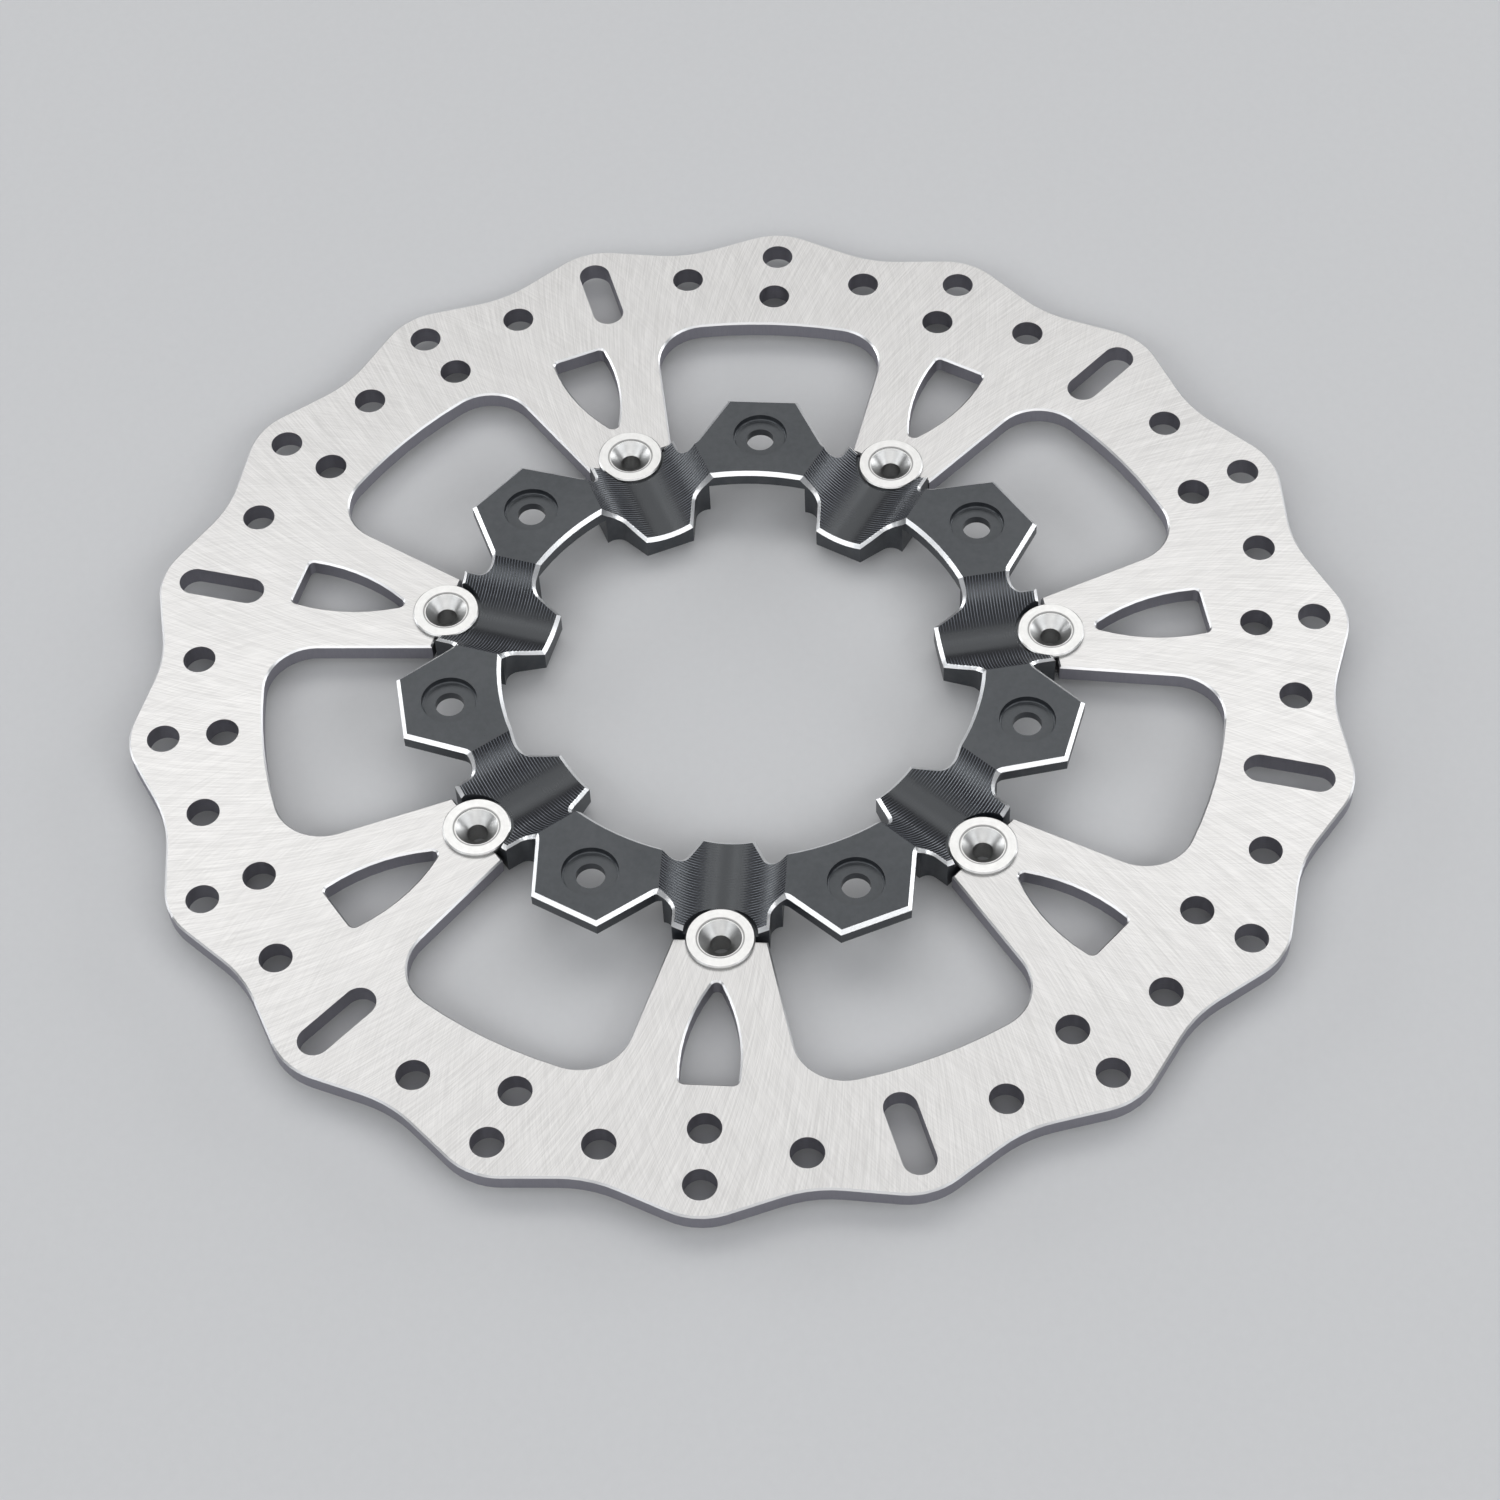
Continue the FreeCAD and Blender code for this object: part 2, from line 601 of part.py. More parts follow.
def lug_end(body):
    """Waste beyond the flat outer end of a lug."""
    sketch = new_sketch(body, "lug_end", "Dims.carrier_top_level", turn=HALF_SPOKE)
    reach = D["lug_outer_reach"]
    bound_polygon(sketch, [
        ("near_low", "Dims.lug_outer_reach", reach, "-30", -30),
        ("far_low", "98", 98, "-30", -30),
        ("far_high", "98", 98, "30", 30),
        ("near_high", "Dims.lug_outer_reach", reach, "30", 30),
    ])
    return finish_sketch(sketch)


def lug_underside(body):
    """Waste below a lug, between the deep webs of two arms."""
    sketch = new_sketch(body, "lug_underside", "Dims.disc_top_level - Dims.disc_thickness", turn=HALF_SPOKE)
    angle = math.radians(HALF_SPOKE)
    start = D["arm_web_half_width"] / math.sin(angle)
    turn = "(180 deg / Dims.spoke_count)"
    rise = "(%%d - Dims.arm_web_half_width / sin%s) * tan%s" % (turn, turn)
    near = (48 - start) * math.tan(angle)
    far = (98 - start) * math.tan(angle)
    bound_polygon(sketch, [
        ("near_low", "48", 48, "-" + rise % 48, -near),
        ("far_low", "98", 98, "-" + rise % 98, -far),
        ("far_high", "98", 98, rise % 98, far),
        ("near_high", "48", 48, rise % 48, near),
    ])
    return finish_sketch(sketch)


def outline_edge(shape, edge):
    """True for an upper edge where a face that looks up meets an upright wall."""
    middle = edge.valueAt((edge.FirstParameter + edge.LastParameter) / 2)
    uprights = 0
    upward = 0
    for face in shape.ancestorsOfType(edge, Part.Face):
        u, v = face.Surface.parameter(middle)
        normal = face.normalAt(u, v)
        if abs(normal.z) < 0.01:
            uprights += 1
        elif normal.z > 0.3:
            upward += 1
    return uprights == 1 and upward == 1


def make_carrier():
    body = new_body("carrier")
    top = "Dims.carrier_top_level"
    height = "Dims.carrier_top_level - Dims.disc_top_level + Dims.disc_thickness"

    blank = new_sketch(body, "carrier_blank", "Dims.disc_top_level - Dims.disc_thickness")
    centred(blank, "2 * Dims.carrier_blank_radius", 2 * D["carrier_blank_radius"], "outer")
    pad(body, finish_sketch(blank), height, "carrier_plate")
    tips = spoke_polygon(body, "arm_tips", "Dims.arm_tip_reach", D["arm_tip_reach"], top)
    pocket(body, tips, height, "hub_opening")
    bay = sector_opening(body, "bay_outline", top,
                         ["Dims.arm_tip_start", "2 * Dims.bay_half_width", "0", "Dims.bay_radius",
                          "Dims.bay_corner_radius"],
                         [D["arm_tip_start"], 2 * D["bay_half_width"], 0, D["bay_radius"],
                          D["bay_corner_radius"]])
    cut = pocket(body, bay, height, "bay_cut")
    pattern(body, [cut], "Dims.spoke_count", "bays")
    cut = pocket(body, lug_end(body), height, "lug_end_cut")
    pattern(body, [cut], "Dims.spoke_count", "lug_ends")
    cut = pocket(body, lug_gap(body), height, "lug_gap_cut")
    pattern(body, [cut], "Dims.spoke_count", "lug_gaps")

    valley = new_sketch(body, "arm_valley", "Dims.arm_run_middle", plane="YZ_Plane")
    radius = D["arm_valley_radius"]
    bowl = circle(valley, Vector(0, D["arm_floor_level"] + radius, 0), radius)
    rule(valley, "PointOnObject", bowl, 3, -2)
    size(valley, "valley_radius", "Dims.arm_valley_radius", "Radius", bowl, radius)
    size(valley, "valley_height", "Dims.arm_floor_level + Dims.arm_valley_radius",
         "DistanceY", -1, 1, bowl, 3, D["arm_floor_level"] + radius)
    cut = pocket(body, finish_sketch(valley), "Dims.arm_run_length", "arm_valley_cut", both_ways=True)
    pattern(body, [cut], "Dims.spoke_count", "arm_valleys")

    edges = named_edges(body.Shape, lambda edge: outline_edge(body.Shape, edge))
    dress(body, "Chamfer", edges, "Size", "Dims.edge_break", "bright_edges")

    cut = pocket(body, lug_underside(body), "Dims.disc_thickness - Dims.disc_top_level", "lug_underside_cut",
                 upward=True)
    pattern(body, [cut], "Dims.spoke_count", "lug_undersides")

    hole = new_sketch(body, "bolt_hole", top, turn=HALF_SPOKE)
    spot(hole, "Dims.bolt_circle_radius", D["bolt_circle_radius"], "Dims.bolt_hole_dia", D["bolt_hole_dia"], "bolt")
    recess = new_sketch(body, "bolt_recess", top, turn=HALF_SPOKE)
    spot(recess, "Dims.bolt_circle_radius", D["bolt_circle_radius"], "Dims.bolt_recess_dia", D["bolt_recess_dia"],
         "recess")
    cuts = [
        pocket(body, finish_sketch(hole), height, "bolt_hole_drilled"),
        pocket(body, finish_sketch(recess), "Dims.bolt_recess_depth", "bolt_recess_cut"),
    ]
    pattern(body, cuts, "Dims.spoke_count", "bolt_seats")
    floor = D["carrier_top_level"] - D["bolt_recess_depth"]
    edges = named_edges(body.Shape, lambda edge: level_edge(edge, floor)
                        and abs(edge.BoundBox.DiagonalLength - D["bolt_recess_dia"] * math.sqrt(2)) < 1)
    dress(body, "Fillet", edges, "Radius", "Dims.bolt_recess_corner", "bolt_recess_corners")

    pocket_sketch = new_sketch(body, "head_pocket", top)
    spot(pocket_sketch, "Dims.button_circle_radius", D["button_circle_radius"], "Dims.button_head_pocket_dia",
         D["button_head_pocket_dia"], "head_pocket")
    cut = pocket(body, finish_sketch(pocket_sketch), "Dims.carrier_top_level - Dims.disc_top_level",
                 "head_pocket_cut")
    pattern(body, [cut], "Dims.spoke_count", "head_pockets")
    seat_buttons(body, top, height)
    return body


# ---------------------------------------------------------------- float buttons

def place_on_circle(part, index):
    """Put a part on the button circle, at the end of spoke number index."""
    part.Placement = Placement(polar(D["button_circle_radius"], index * 2 * HALF_SPOKE),
                               Rotation(AXIS_Z, index * 2 * HALF_SPOKE))
    angle = "(%d * 360 deg / Dims.spoke_count)" % index
    part.setExpression("Placement.Base.x", "Dims.button_circle_radius * cos" + angle)
    part.setExpression("Placement.Base.y", "Dims.button_circle_radius * sin" + angle)


def make_bobbin(index):
    body = new_body("bobbin_%d" % (index + 1))
    sketch = new_sketch(body, "bobbin_profile", plane="XZ_Plane")
    bore = D["button_bore_dia"] / 2
    shank = D["button_shank_dia"] / 2
    head = D["button_head_dia"] / 2
    rim = D["button_rim_dia"] / 2
    mouth = D["button_mouth_dia"] / 2
    groove = D["groove_dia"] / 2
    seat = DISC_TOP + D["button_seat_gap"]
    top = seat + D["button_head_height"]
    step = top - D["button_rim_step"]
    end = D["button_end_level"]
    bevel = D["button_end_chamfer"]
    edge = D["button_head_edge"]
    groove_top = D["groove_top_level"]
    groove_back = groove_top - D["groove_width"]
    r_bore = "Dims.button_bore_dia / 2"
    r_shank = "Dims.button_shank_dia / 2"
    r_head = "Dims.button_head_dia / 2"
    r_groove = "Dims.groove_dia / 2"
    z_seat = "Dims.disc_top_level + Dims.button_seat_gap"
    z_top = z_seat + " + Dims.button_head_height"
    z_end = "Dims.button_end_level"
    z_groove_back = "Dims.groove_top_level - Dims.groove_width"
    bound_polygon(sketch, [
        ("bore_end", r_bore, bore, z_end, end),
        ("end", r_shank + " - Dims.button_end_chamfer", shank - bevel, z_end, end),
        ("end_bevel", r_shank, shank, z_end + " + Dims.button_end_chamfer", end + bevel),
        ("groove_back", r_shank, shank, z_groove_back, groove_back),
        ("groove_back_root", r_groove, groove, z_groove_back, groove_back),
        ("groove_top_root", r_groove, groove, "Dims.groove_top_level", groove_top),
        ("groove_top", r_shank, shank, "Dims.groove_top_level", groove_top),
        ("seat_root", r_shank, shank, z_seat, seat),
        ("seat", r_head, head, z_seat, seat),
        ("head_side", r_head, head, z_top + " - Dims.button_head_edge", top - edge),
        ("head_edge", r_head + " - Dims.button_head_edge", head - edge, z_top, top),
        ("rim", "Dims.button_rim_dia / 2", rim, z_top, top),
        ("rim_step", "Dims.button_rim_dia / 2", rim, z_top + " - Dims.button_rim_step", step),
        ("mouth", "Dims.button_mouth_dia / 2", mouth, z_top + " - Dims.button_rim_step", step),
        ("cone_end", r_bore, bore,
         z_top + " - Dims.button_rim_step - (Dims.button_mouth_dia - Dims.button_bore_dia) / 2",
         step - (mouth - bore)),
    ])
    finish_sketch(sketch)
    turned = body.newObject("PartDesign::Revolution", "bobbin_turned")
    turned.Profile = sketch
    turned.ReferenceAxis = (sketch, ["V_Axis"])
    turned.Angle = 360
    sketch.Visibility = False
    DOC.recompute()
    place_on_circle(body, index)
    return body


def make_wave_washer(index):
    """Closed wave of thin sheet: a ruled band between two waving rings, given its thickness."""
    inner = SHEET.get("wave_inner_dia") / 2
    outer = SHEET.get("wave_outer_dia") / 2
    sheet = SHEET.get("wave_sheet")
    swing = (SHEET.get("wave_height") - sheet) / 2
    middle = DISC_BACK - SHEET.get("button_seat_gap") - SHEET.get("wave_height") / 2 - sheet / 2
    waves = SHEET.get("wave_count")
    steps = 8 * int(waves)
    rings = []
    for radius in (inner, outer):
        points = []
        for k in range(steps):
            turn = 2 * math.pi * k / steps
            height = middle + swing * math.cos(waves * turn)
            points.append(Vector(radius * math.cos(turn), radius * math.sin(turn), height))
        curve = Part.BSplineCurve()
        curve.interpolate(Points=points, PeriodicFlag=True)
        rings.append(curve.toShape())
    band = Part.makeRuledSurface(rings[0], rings[1])
    part = DOC.addObject("Part::Feature", "wave_washer_%d" % (index + 1))
    part.Label = "wave_washer_%d" % (index + 1)
    part.Shape = band.extrude(Vector(0, 0, sheet))
    place_on_circle(part, index)
    return part


def make_flat_washer(index):
    body = new_body("flat_washer_%d" % (index + 1))
    sketch = new_sketch(body, "washer_outline", "Dims.washer_top_level - Dims.washer_thickness")
    centred(sketch, "Dims.washer_inner_dia", D["washer_inner_dia"], "inner")
    centred(sketch, "Dims.washer_outer_dia", D["washer_outer_dia"], "outer")
    pad(body, finish_sketch(sketch), "Dims.washer_thickness", "washer_plate")
    place_on_circle(body, index)
    return body


def make_snap_ring(index):
    """Open ring for the groove, with its gap towards the wheel axis."""
    body = new_body("snap_ring_%d" % (index + 1))
    sketch = new_sketch(body, "ring_outline", "Dims.ring_top_level - Dims.ring_thickness")
    inner = D["ring_inner_dia"] / 2
    outer = D["ring_outer_dia"] / 2
    half_gap = D["ring_gap"] / 2
    inner_end = Vector(-math.sqrt(inner ** 2 - half_gap ** 2), half_gap, 0)
    outer_end = Vector(-math.sqrt(outer ** 2 - half_gap ** 2), half_gap, 0)
    outside = arc(sketch, Vector(0, 0, 0), flip(outer_end), outer_end)
    upper = line(sketch, outer_end, inner_end)
    inside = arc(sketch, Vector(0, 0, 0), flip(inner_end), inner_end)
    lower = line(sketch, flip(outer_end), flip(inner_end))
    join(sketch, outside, 2, upper, 1)
    join(sketch, upper, 2, inside, 2)
    join(sketch, inside, 1, lower, 2)
    join(sketch, lower, 1, outside, 1)
    rule(sketch, "Coincident", outside, 3, -1, 1)
    rule(sketch, "Coincident", inside, 3, -1, 1)
    rule(sketch, "Horizontal", upper)
    rule(sketch, "Horizontal", lower)
    size(sketch, "inner_radius", "Dims.ring_inner_dia / 2", "Radius", inside, inner)
    size(sketch, "outer_radius", "Dims.ring_outer_dia / 2", "Radius", outside, outer)
    size(sketch, "gap_upper", "Dims.ring_gap / 2", "DistanceY", -1, 1, upper, 1, half_gap)
    size(sketch, "gap_lower", "-Dims.ring_gap / 2", "DistanceY", -1, 1, lower, 1, -half_gap)
    pad(body, finish_sketch(sketch), "Dims.ring_thickness", "ring_wire")
    place_on_circle(body, index)
    return body


# ---------------------------------------------------------------- whole assembly

def check(parts):
    for item in DOC.Objects:
        if "Invalid" in item.State or "Error" in item.State:
            raise RuntimeError("%s is in error" % item.Name)
    for part in parts:
        shape = part.Shape
        if shape.isNull() or not shape.isValid() or len(shape.Solids) != 1:
            raise RuntimeError("%s has a bad shape" % part.Label)


def main():
    parts = [make_disc(), make_carrier()]
    for index in range(SPOKES):
        parts += [make_bobbin(index), make_wave_washer(index), make_flat_washer(index), make_snap_ring(index)]
    DOC.recompute()
    check(parts)
    os.makedirs("parts", exist_ok=True)
    for part in parts:
        part.Shape.exportStep("parts/%s.step" % part.Label)
        box = part.Shape.BoundBox
        print("%-15s volume %9.1f  z %.2f to %.2f" % (part.Label, part.Shape.Volume, box.ZMin, box.ZMax))


main()
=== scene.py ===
import json
import math

import bmesh
import bpy
from mathutils import Matrix, Vector


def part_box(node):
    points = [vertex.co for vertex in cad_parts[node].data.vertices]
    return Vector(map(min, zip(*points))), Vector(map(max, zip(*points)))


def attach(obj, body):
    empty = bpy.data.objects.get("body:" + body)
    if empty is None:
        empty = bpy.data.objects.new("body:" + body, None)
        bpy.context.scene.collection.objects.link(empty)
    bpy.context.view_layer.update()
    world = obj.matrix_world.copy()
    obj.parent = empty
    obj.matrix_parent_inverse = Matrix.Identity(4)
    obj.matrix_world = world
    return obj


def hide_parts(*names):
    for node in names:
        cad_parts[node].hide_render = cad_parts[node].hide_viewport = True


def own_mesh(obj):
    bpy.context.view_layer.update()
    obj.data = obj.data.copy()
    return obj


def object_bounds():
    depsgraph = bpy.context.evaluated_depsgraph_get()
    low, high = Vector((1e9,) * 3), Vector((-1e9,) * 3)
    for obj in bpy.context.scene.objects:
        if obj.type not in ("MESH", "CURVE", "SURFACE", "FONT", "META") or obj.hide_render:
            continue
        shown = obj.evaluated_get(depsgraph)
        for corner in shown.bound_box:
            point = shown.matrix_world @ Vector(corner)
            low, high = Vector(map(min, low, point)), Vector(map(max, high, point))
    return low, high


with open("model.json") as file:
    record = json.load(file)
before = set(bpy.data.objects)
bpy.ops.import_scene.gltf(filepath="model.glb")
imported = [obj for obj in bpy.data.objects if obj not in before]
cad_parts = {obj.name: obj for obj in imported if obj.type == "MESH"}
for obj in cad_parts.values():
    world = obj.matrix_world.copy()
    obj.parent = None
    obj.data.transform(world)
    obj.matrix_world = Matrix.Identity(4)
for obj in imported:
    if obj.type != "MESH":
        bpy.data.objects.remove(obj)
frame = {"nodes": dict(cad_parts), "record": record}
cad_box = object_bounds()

MM = 0.001

# ---------------------------------------------------------------- sizes read from the CAD frame

DISC_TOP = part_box("rotor_disc")[1].z
LUG_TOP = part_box("carrier")[1].z
WHEEL_BOLTS = next(mount for mount in frame["record"]["mounts"] if mount["name"] == "wheel_bolts")
BOLT_RADIUS = WHEEL_BOLTS["dims"]["pcd_mm"] / 2 * MM
SPOKES = sum(node.startswith("bobbin_") for node in frame["nodes"])
SECTOR = 2 * math.pi / SPOKES

# ---------------------------------------------------------------- sizes of the design

RECESS_REACH = 7.2 * MM         # an edge nearer than this to a bolt's axis is its recess's
EDGE_BREAK = 0.91 * MM          # a bare edge lower than this under the lug's top is a valley's
CONE_MOUTH = 5.55 * MM          # radius of the painted shade ring at the step round the cone in a button's head

# the cutter paths on the carrier's valleys, which run across each arm
VALLEY_RADIUS = 17.5 * MM
VALLEY_RIM = 14.7 * MM
CUT_PITCH = 0.75 * MM
CUT_STEPS = 3
CUT_DEPTH_SLOPE = 0.10 * MM
CUT_DEPTH_FLOOR = 0.010 * MM
VALLEY_FLOOR = 3.5 * MM         # half width of the smooth strip along the valley's bottom
VALLEY_FLOOR_FADE = 3.5 * MM    # and the width over which the ridges rise beside it
ARM_INNER = 47.25 * MM
ARM_OUTER = 78.0 * MM
COLUMN_WIDTH = 0.9 * MM

# how the carrier's surfaces are told apart
VALLEY_LEAN = 0.05              # most that a valley's normal leans along the arm
VALLEY_UPWARD = 0.45            # least upward share of a valley's normal
VALLEY_MISS = 0.15 * MM         # most that a valley face's middle is off the cylinder
BREAK_LOWEST = 0.2              # an edge break's normal points up by more than this
BREAK_HIGHEST = 0.93            # and by less than this
RIM_MISS = 0.02 * MM            # a point this close to the lug's top face is on the rim
SHARP_ANGLE = math.radians(30)
WELD = 1e-7

# the carrier's material slots, in the order that make_carrier adds them
ANODISED, MILLED, BRIGHT_CUT = range(3)

# the wave washers, as the strip's cross section carried round the button's axis
SPRING_SHEET = 0.35 * MM
SPRING_INNER = 6.2 * MM
SPRING_OUTER = 8.0 * MM
SPRING_ROUND = 0.06 * MM
SPRING_WAVES = 3
SPRING_STEPS = 120


def add_object(name, data):
    """A new object in the scene, at the origin."""
    made = bpy.data.objects.new(name, data)
    bpy.context.scene.collection.objects.link(made)
    return made


def middle(node):
    """Middle of a CAD node's box."""
    low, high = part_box(node)
    return (low + high) / 2


# ---------------------------------------------------------------- camera, floor and lights

CAMERA_LENS = 86.87
CAMERA_SENSOR = 36
CAMERA_NEAR = 0.05
CAMERA_FAR = 30
CAMERA_ELEVATION = math.radians(53.683)
CAMERA_TURN = math.radians(96.188)
CAMERA_ROLL = math.radians(-3.038)
CAMERA_DISTANCE = 0.8856
# how far the middle of the disc's top face is to the right of the camera's axis, and above it
AIM_RIGHT = -1.874 * MM
AIM_UP = 17.824 * MM

GROUND_HALF = 12.0              # half width of the pale floor, in metres

WORLD_COLOUR = (0.86, 0.88, 0.92, 1)
WORLD_STRENGTH = 0.21

WHITE = (1.0, 1.0, 1.0)
WARM = (1.0, 0.99, 0.975)
WARM_WHITE = (1.0, 0.995, 0.985)
COOL = (0.97, 0.985, 1.0)

# name, azimuth and elevation in degrees, distance, width and height in metres, watts, colour
LIGHTS = (
    ("overhead", 6, 88, 1.8, 1.2, 1.2, 1.2, WHITE),
    ("softbox_back", 186, 57, 1.8, 0.9, 1.4, 4.2, WARM),
    ("flank_left", 226, 50, 1.8, 0.9, 0.75, 3.0, WARM_WHITE),
    ("flank_right", 146, 50, 1.8, 0.9, 0.75, 3.0, WARM_WHITE),
    ("strip_front", 6, 40, 1.9, 1.8, 0.8, 8, WHITE),
    ("front_left", 306, 34, 1.8, 1.3, 0.7, 6.2, COOL),
    ("front_right", 66, 34, 1.8, 1.3, 0.7, 6.2, COOL),
    ("side_left", 248, 12, 1.8, 1.3, 0.5, 8, COOL),
    ("side_right", 124, 12, 1.8, 1.3, 0.5, 8, COOL),
)


def make_camera():
    data = bpy.data.cameras.new("camera")
    data.lens = CAMERA_LENS
    data.sensor_width = CAMERA_SENSOR
    data.clip_start = CAMERA_NEAR
    data.clip_end = CAMERA_FAR
    camera = add_object("camera", data)
    facing = (Matrix.Rotation(CAMERA_TURN, 3, "Z")
              @ Matrix.Rotation(math.pi / 2 - CAMERA_ELEVATION, 3, "X")
              @ Matrix.Rotation(CAMERA_ROLL, 3, "Z"))
    target = Vector((0, 0, DISC_TOP))
    place = target - facing @ Vector((AIM_RIGHT, AIM_UP, -CAMERA_DISTANCE))
    camera.matrix_world = Matrix.Translation(place) @ facing.to_4x4()
    bpy.context.scene.camera = camera


def make_light(name, azimuth, elevation, distance, width, height, power, colour):
    """A rectangular lamp that faces the origin."""
    data = bpy.data.lights.new(name, "AREA")
    data.shape = "RECTANGLE"
    data.size = width
    data.size_y = height
    data.energy = power
    data.color = colour
    light = add_object(name, data)
    around, up = math.radians(azimuth), math.radians(elevation)
    towards = Vector((math.cos(around) * math.cos(up),
                      math.sin(around) * math.cos(up),
                      math.sin(up)))
    light.location = towards * distance
    light.rotation_mode = "QUATERNION"
    light.rotation_quaternion = towards.to_track_quat("Z", "Y")


def make_look():
    """Plain display of the light values, so that blacks and bright edges keep their contrast."""
    view = bpy.context.scene.view_settings
    view.view_transform = "Standard"
    view.look = "None"
    view.exposure = 0.0


def make_world():
    world = bpy.data.worlds.new("studio")
    bpy.context.scene.world = world
    world.use_nodes = True
    background = world.node_tree.nodes["Background"]
    background.inputs["Color"].default_value = WORLD_COLOUR
    background.inputs["Strength"].default_value = WORLD_STRENGTH


def make_floor():
    level = cad_box[0].z
    corners = [(-GROUND_HALF, -GROUND_HALF, level), (GROUND_HALF, -GROUND_HALF, level),
               (GROUND_HALF, GROUND_HALF, level), (-GROUND_HALF, GROUND_HALF, level)]
    data = bpy.data.meshes.new("floor")
    data.from_pydata(corners, [], [(0, 1, 2, 3)])
    data.materials.append(floor_material())
    floor = add_object("floor", data)


# ---------------------------------------------------------------- materials

class Shader:
    """A material with its nodes, and short calls that add and join them."""

    def __init__(self, name):
        self.material = bpy.data.materials.new(name)
        self.material.use_nodes = True
        self.tree = self.material.node_tree
        self.surface = self.tree.nodes["Principled BSDF"]

    def node(self, kind, **settings):
        made = self.tree.nodes.new(kind)
        for key, value in settings.items():
            setattr(made, key, value)
        return made

    def put(self, node, socket, value):
        """Joins a socket to another node's output, or sets it to a plain value."""
        target = node.inputs[socket]
        if isinstance(value, bpy.types.NodeSocket):
            self.tree.links.new(value, target)
        else:
            target.default_value = value

    def put_all(self, node, sockets, values):
        for socket, value in zip(sockets, values):
            self.put(node, socket, value)

    def set(self, **values):
        """Sets the surface's own sockets, which are named with _ for each space."""
        for key, value in values.items():
            self.put(self.surface, key.replace("_", " "), value)

    def math(self, operation, *values):
        made = self.node("ShaderNodeMath", operation=operation)
        self.put_all(made, range(len(values)), values)
        return made.outputs[0]

    def add(self, first, second):
        return self.math("ADD", first, second)

    def subtract(self, first, second):
        return self.math("SUBTRACT", first, second)

    def multiply(self, first, second):
        return self.math("MULTIPLY", first, second)

    def divide(self, first, second):
        return self.math("DIVIDE", first, second)

    def absolute(self, value):
        return self.math("ABSOLUTE", value)

    def length(self, x, y):
        return self.math("SQRT", self.add(self.multiply(x, x), self.multiply(y, y)))

    def weighted(self, *parts):
        """Sum of values, each times its own weight."""
        total = None
        for value, weight in reversed(parts):
            share = self.multiply(value, weight)
            total = share if total is None else self.add(share, total)
        return total

    def span(self, value, low, high, out_low=0.0, out_high=1.0):
        """Turns low..high into out_low..out_high, and stops at both ends."""
        made = self.node("ShaderNodeMapRange")
        self.put_all(made, ("Value", "From Min", "From Max", "To Min", "To Max"),
                     (value, low, high, out_low, out_high))
        return made.outputs["Result"]

    def noise(self, place, scale, detail=3.0, roughness=0.6):
        made = self.node("ShaderNodeTexNoise")
        self.put_all(made, ("Vector", "Scale", "Detail", "Roughness"),
                     (place, scale, detail, roughness))
        return made.outputs["Fac"]

    def split(self, vector):
        made = self.node("ShaderNodeSeparateXYZ")
        self.put(made, 0, vector)
        return made.outputs

    def merge(self, *parts):
        made = self.node("ShaderNodeCombineXYZ")
        self.put_all(made, range(3), parts)
        return made.outputs[0]

    def stretch(self, vector, scales):
        """The vector with each of its three parts scaled."""
        return self.merge(*[self.multiply(part, scale)
                            for part, scale in zip(self.split(vector), scales)])

    def place(self):
        """The point on the object, in metres."""
        return self.node("ShaderNodeTexCoord").outputs["Object"]

    def level(self):
        """How level the surface is: 1 on a flat face, 0 on an upright wall."""
        normal = self.node("ShaderNodeTexCoord").outputs["Normal"]
        return self.absolute(self.split(normal)[2])

    def round_axis(self):
        """Direction round the wheel axis, for the anisotropic highlight."""
        return self.node("ShaderNodeTangent", direction_type="RADIAL", axis="Z").outputs[0]

    def mix_colour(self, factor, first, second):
        """The mix node's colour sockets share their names with others, so they go by number."""
        made = self.node("ShaderNodeMix", data_type="RGBA")
        self.put_all(made, (0, 6, 7), (factor, first, second))
        return made.outputs[2]

    def bump(self, height, distance, strength):
        made = self.node("ShaderNodeBump")
        self.put_all(made, ("Height", "Distance", "Strength"), (height, distance, strength))
        return made.outputs["Normal"]


def rgb(red, green, blue):
    return (red, green, blue, 1.0)


# the streaks are laid out on this circle, in the middle of the brake band
STREAK_RADIUS = 0.134

# anodising turns its reflections a little blue
ANODISED_TINT = rgb(0.90, 0.955, 1.0)

# the two turned finishes: darkest and lightest tone, roughness of each, the lathe's pitch and
# depth, and how much painted shade darkens the cones beside the flat faces
BUTTON_FINISH = {"dark": (0.71, 0.71, 0.70), "light": (0.82, 0.82, 0.81), "rough": (0.38, 0.30),
                 "pitch": 0.16 * MM, "depth": 0.006 * MM, "cone_painted_shade": 0.72}
WASHER_FINISH = {"dark": (0.50, 0.50, 0.51), "light": (0.62, 0.62, 0.63), "rough": (0.42, 0.32),
                 "pitch": 0.3 * MM, "depth": 0.008 * MM, "cone_painted_shade": 1.0}
# painted shade: the cones' dark tone is darkened again by this share
CONE_DARK_PAINTED_SHADE = 0.86
STEP_SHADE_CORE = 0.10 * MM           # half width of the painted shade ring round the cone's mouth
STEP_SHADE_EDGE = 0.26 * MM           # half width where the painted shade has faded out


def radial_streaks(shader, along, around, twist):
    """Noise drawn out along the radius, with a slant that follows a grinding wheel's arcs."""
    x, y, _ = shader.split(shader.place())
    radius = shader.length(x, y)
    angle = shader.multiply(shader.subtract(radius, STREAK_RADIUS), twist)
    cosine = shader.math("COSINE", angle)
    sine = shader.math("SINE", angle)
    turned_x = shader.subtract(shader.multiply(x, cosine), shader.multiply(y, sine))
    turned_y = shader.add(shader.multiply(x, sine), shader.multiply(y, cosine))
    scale_around = STREAK_RADIUS * around
    where = shader.merge(shader.multiply(shader.divide(turned_x, radius), scale_around),
                         shader.multiply(shader.divide(turned_y, radius), scale_around),
                         shader.multiply(radius, along))
    return shader.noise(where, 1.0, 2.0)


